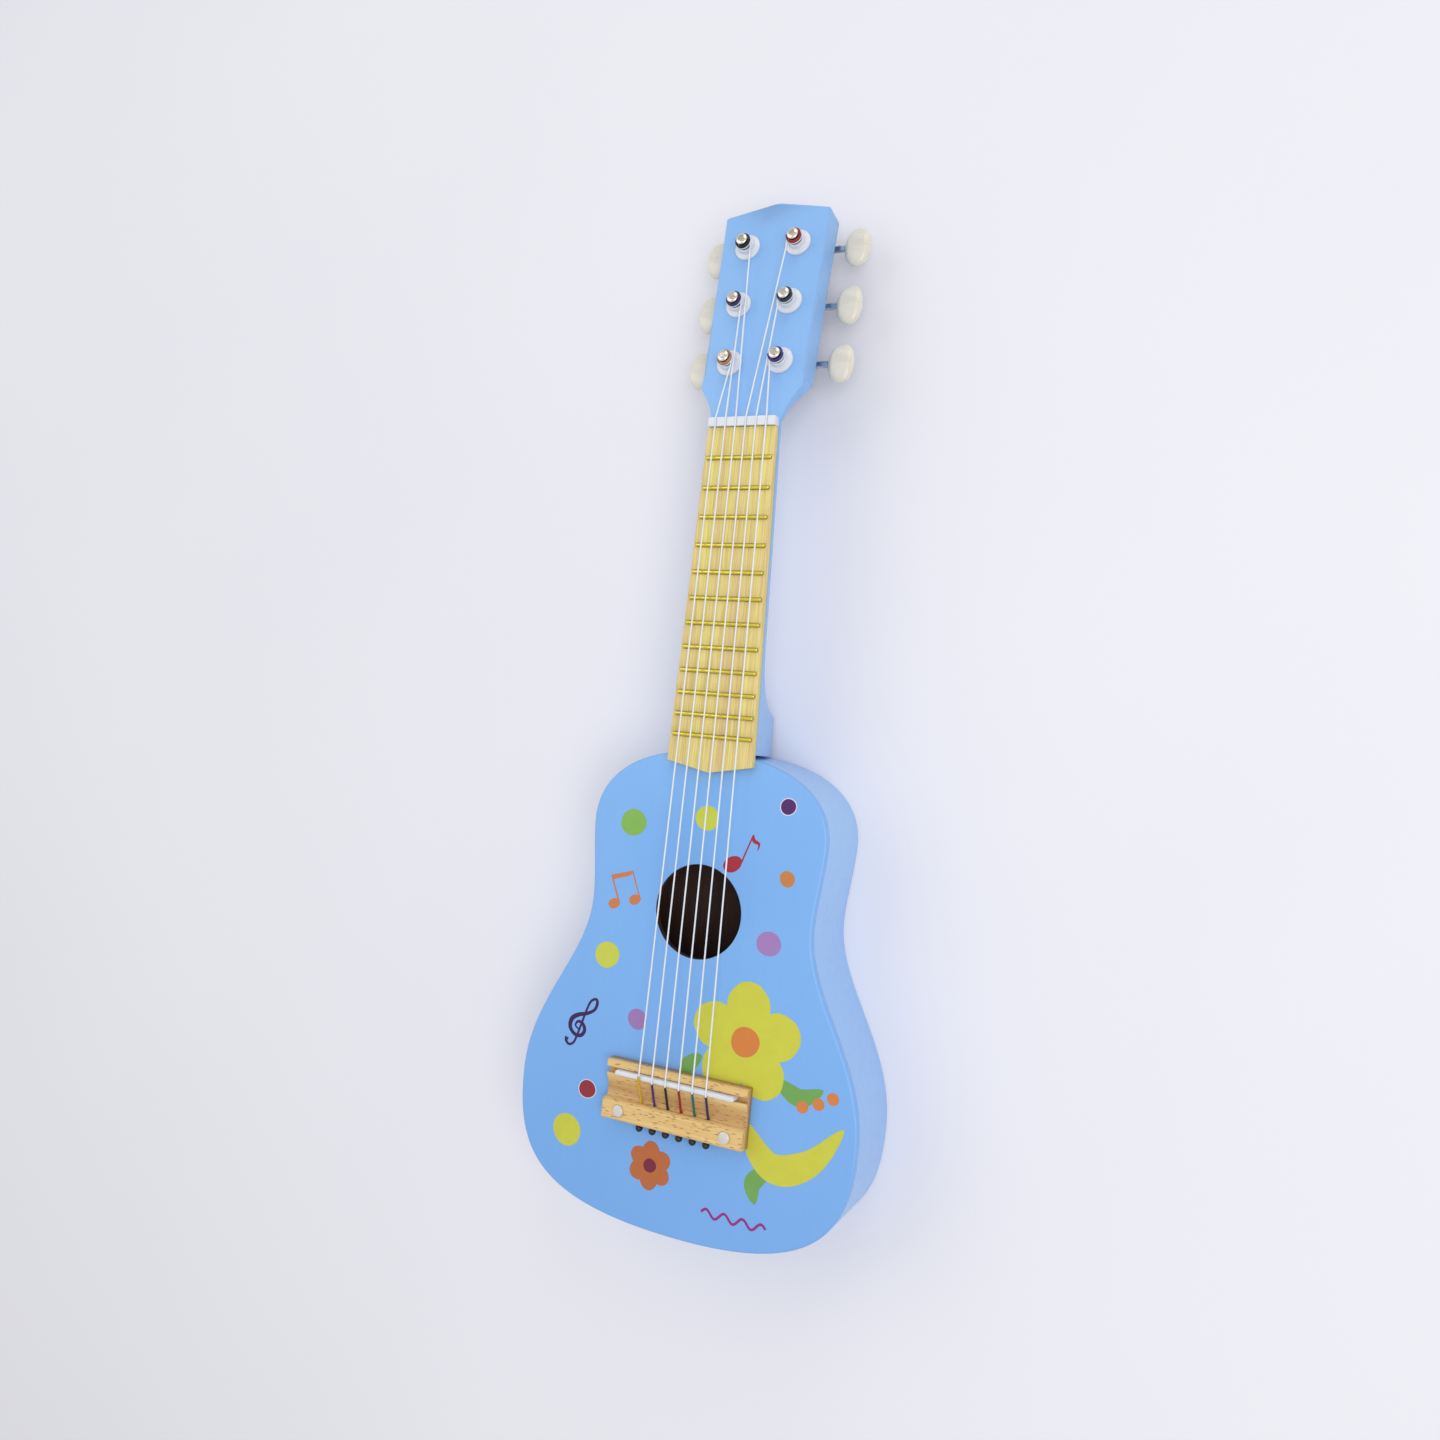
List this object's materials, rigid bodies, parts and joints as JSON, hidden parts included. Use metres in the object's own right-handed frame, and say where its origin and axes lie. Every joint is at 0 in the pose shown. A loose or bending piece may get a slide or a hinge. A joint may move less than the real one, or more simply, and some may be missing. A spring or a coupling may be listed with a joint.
{
  "type": "toy guitar",
  "caption": "Small light-blue child's acoustic guitar with waisted hollow body, round sound hole, fretted neck, white nylon strings and turning tuning keys.",
  "frame": {"origin": "middle of the guitar's length and width, on the plane that the back plate lies on", "axes": "+Y along the neck to the headstock, +Z out of the soundboard, +X to the treble-string side"},
  "size_m": [0.19, 0.54, 0.0608],
  "materials": {
    "blue_paint": "light blue satin paint on wood",
    "pale_blue_paint": "paler light blue satin paint on wood",
    "bare_wood": "bare light wood inside the body",
    "board_wood": "yellow-brown wood, satin",
    "bridge_wood": "natural beech, satin",
    "fret_brass": "polished brass-coloured fret wire",
    "white_plastic": "white gloss plastic",
    "pearl_plastic": "cream pearl plastic",
    "bright_steel": "bright plated steel",
    "dark_steel": "dark plated steel",
    "white_nylon": "white nylon string"
  },
  "bodies": {
    "guitar": {"soundboard": "blue_paint", "back_plate": "pale_blue_paint", "body_sides": "pale_blue_paint", "neck_block": "bare_wood", "tail_block": "bare_wood", "top_brace_lower": "bare_wood", "top_brace_upper": "bare_wood", "back_brace": "bare_wood", "neck": "pale_blue_paint", "fingerboard": "board_wood", "nut": "white_plastic", "bridge": "bridge_wood", "bridge_cap_bass": "white_plastic", "bridge_cap_treble": "white_plastic", "saddle": "white_plastic", "fret_01": "fret_brass", "fret_02": "fret_brass", "fret_03": "fret_brass", "fret_04": "fret_brass", "fret_05": "fret_brass", "fret_06": "fret_brass", "fret_07": "fret_brass", "fret_08": "fret_brass", "fret_09": "fret_brass", "fret_10": "fret_brass", "fret_11": "fret_brass", "fret_12": "fret_brass", "string_1": "white_nylon", "string_2": "white_nylon", "string_3": "white_nylon", "string_4": "white_nylon", "string_5": "white_nylon", "string_6": "white_nylon", "tuner_plate_bass": "bright_steel", "tuner_plate_treble": "bright_steel", "bushing_bass_1": "white_plastic", "bushing_bass_2": "white_plastic", "bushing_bass_3": "white_plastic", "bushing_treble_1": "white_plastic", "bushing_treble_2": "white_plastic", "bushing_treble_3": "white_plastic"},
    "tuning_key_bass_1": {"worm_shaft_bass_1": "dark_steel", "button_bass_1": "pearl_plastic"},
    "string_post_bass_1": {"post_bass_1": "bright_steel"},
    "tuning_key_bass_2": {"worm_shaft_bass_2": "dark_steel", "button_bass_2": "pearl_plastic"},
    "string_post_bass_2": {"post_bass_2": "bright_steel"},
    "tuning_key_bass_3": {"worm_shaft_bass_3": "dark_steel", "button_bass_3": "pearl_plastic"},
    "string_post_bass_3": {"post_bass_3": "bright_steel"},
    "tuning_key_treble_1": {"worm_shaft_treble_1": "dark_steel", "button_treble_1": "pearl_plastic"},
    "string_post_treble_1": {"post_treble_1": "bright_steel"},
    "tuning_key_treble_2": {"worm_shaft_treble_2": "dark_steel", "button_treble_2": "pearl_plastic"},
    "string_post_treble_2": {"post_treble_2": "bright_steel"},
    "tuning_key_treble_3": {"worm_shaft_treble_3": "dark_steel", "button_treble_3": "pearl_plastic"},
    "string_post_treble_3": {"post_treble_3": "bright_steel"}
  },
  "joints": [
    {"name": "key_turn_bass_1", "type": "hinge", "parent": "guitar", "child": "tuning_key_bass_1", "pos_m": [-0.0144, 0.18466, 0.0259], "axis": [1, 0, 0], "range_deg": [-1125, 405]},
    {"name": "post_turn_bass_1", "type": "hinge", "parent": "guitar", "child": "string_post_bass_1", "pos_m": [-0.0144, 0.18074, 0.04566], "axis": [0, 0.1271, 0.9919], "range_deg": [-94, 34]},
    {"name": "key_turn_bass_2", "type": "hinge", "parent": "guitar", "child": "tuning_key_bass_2", "pos_m": [-0.0144, 0.21729, 0.02172], "axis": [1, 0, 0], "range_deg": [-1125, 405]},
    {"name": "post_turn_bass_2", "type": "hinge", "parent": "guitar", "child": "string_post_bass_2", "pos_m": [-0.0144, 0.21337, 0.04148], "axis": [0, 0.1271, 0.9919], "range_deg": [-94, 34]},
    {"name": "key_turn_bass_3", "type": "hinge", "parent": "guitar", "child": "tuning_key_bass_3", "pos_m": [-0.0144, 0.24992, 0.01754], "axis": [1, 0, 0], "range_deg": [-1125, 405]},
    {"name": "post_turn_bass_3", "type": "hinge", "parent": "guitar", "child": "string_post_bass_3", "pos_m": [-0.0144, 0.246, 0.0373], "axis": [0, 0.1271, 0.9919], "range_deg": [-94, 34]},
    {"name": "key_turn_treble_1", "type": "hinge", "parent": "guitar", "child": "tuning_key_treble_1", "pos_m": [0.0144, 0.18466, 0.0259], "axis": [-1, 0, 0], "range_deg": [-1125, 405]},
    {"name": "post_turn_treble_1", "type": "hinge", "parent": "guitar", "child": "string_post_treble_1", "pos_m": [0.0144, 0.18074, 0.04566], "axis": [0, -0.1271, -0.9919], "range_deg": [-94, 34]},
    {"name": "key_turn_treble_2", "type": "hinge", "parent": "guitar", "child": "tuning_key_treble_2", "pos_m": [0.0144, 0.21729, 0.02172], "axis": [-1, 0, 0], "range_deg": [-1125, 405]},
    {"name": "post_turn_treble_2", "type": "hinge", "parent": "guitar", "child": "string_post_treble_2", "pos_m": [0.0144, 0.21337, 0.04148], "axis": [0, -0.1271, -0.9919], "range_deg": [-94, 34]},
    {"name": "key_turn_treble_3", "type": "hinge", "parent": "guitar", "child": "tuning_key_treble_3", "pos_m": [0.0144, 0.24992, 0.01754], "axis": [-1, 0, 0], "range_deg": [-1125, 405]},
    {"name": "post_turn_treble_3", "type": "hinge", "parent": "guitar", "child": "string_post_treble_3", "pos_m": [0.0144, 0.246, 0.0373], "axis": [0, -0.1271, -0.9919], "range_deg": [-94, 34]}
  ],
  "couplings": [
    {"joint": "post_turn_bass_1", "follows": "key_turn_bass_1", "ratio": 0.083333},
    {"joint": "post_turn_bass_2", "follows": "key_turn_bass_2", "ratio": 0.083333},
    {"joint": "post_turn_bass_3", "follows": "key_turn_bass_3", "ratio": 0.083333},
    {"joint": "post_turn_treble_1", "follows": "key_turn_treble_1", "ratio": 0.083333},
    {"joint": "post_turn_treble_2", "follows": "key_turn_treble_2", "ratio": 0.083333},
    {"joint": "post_turn_treble_3", "follows": "key_turn_treble_3", "ratio": 0.083333}
  ]
}
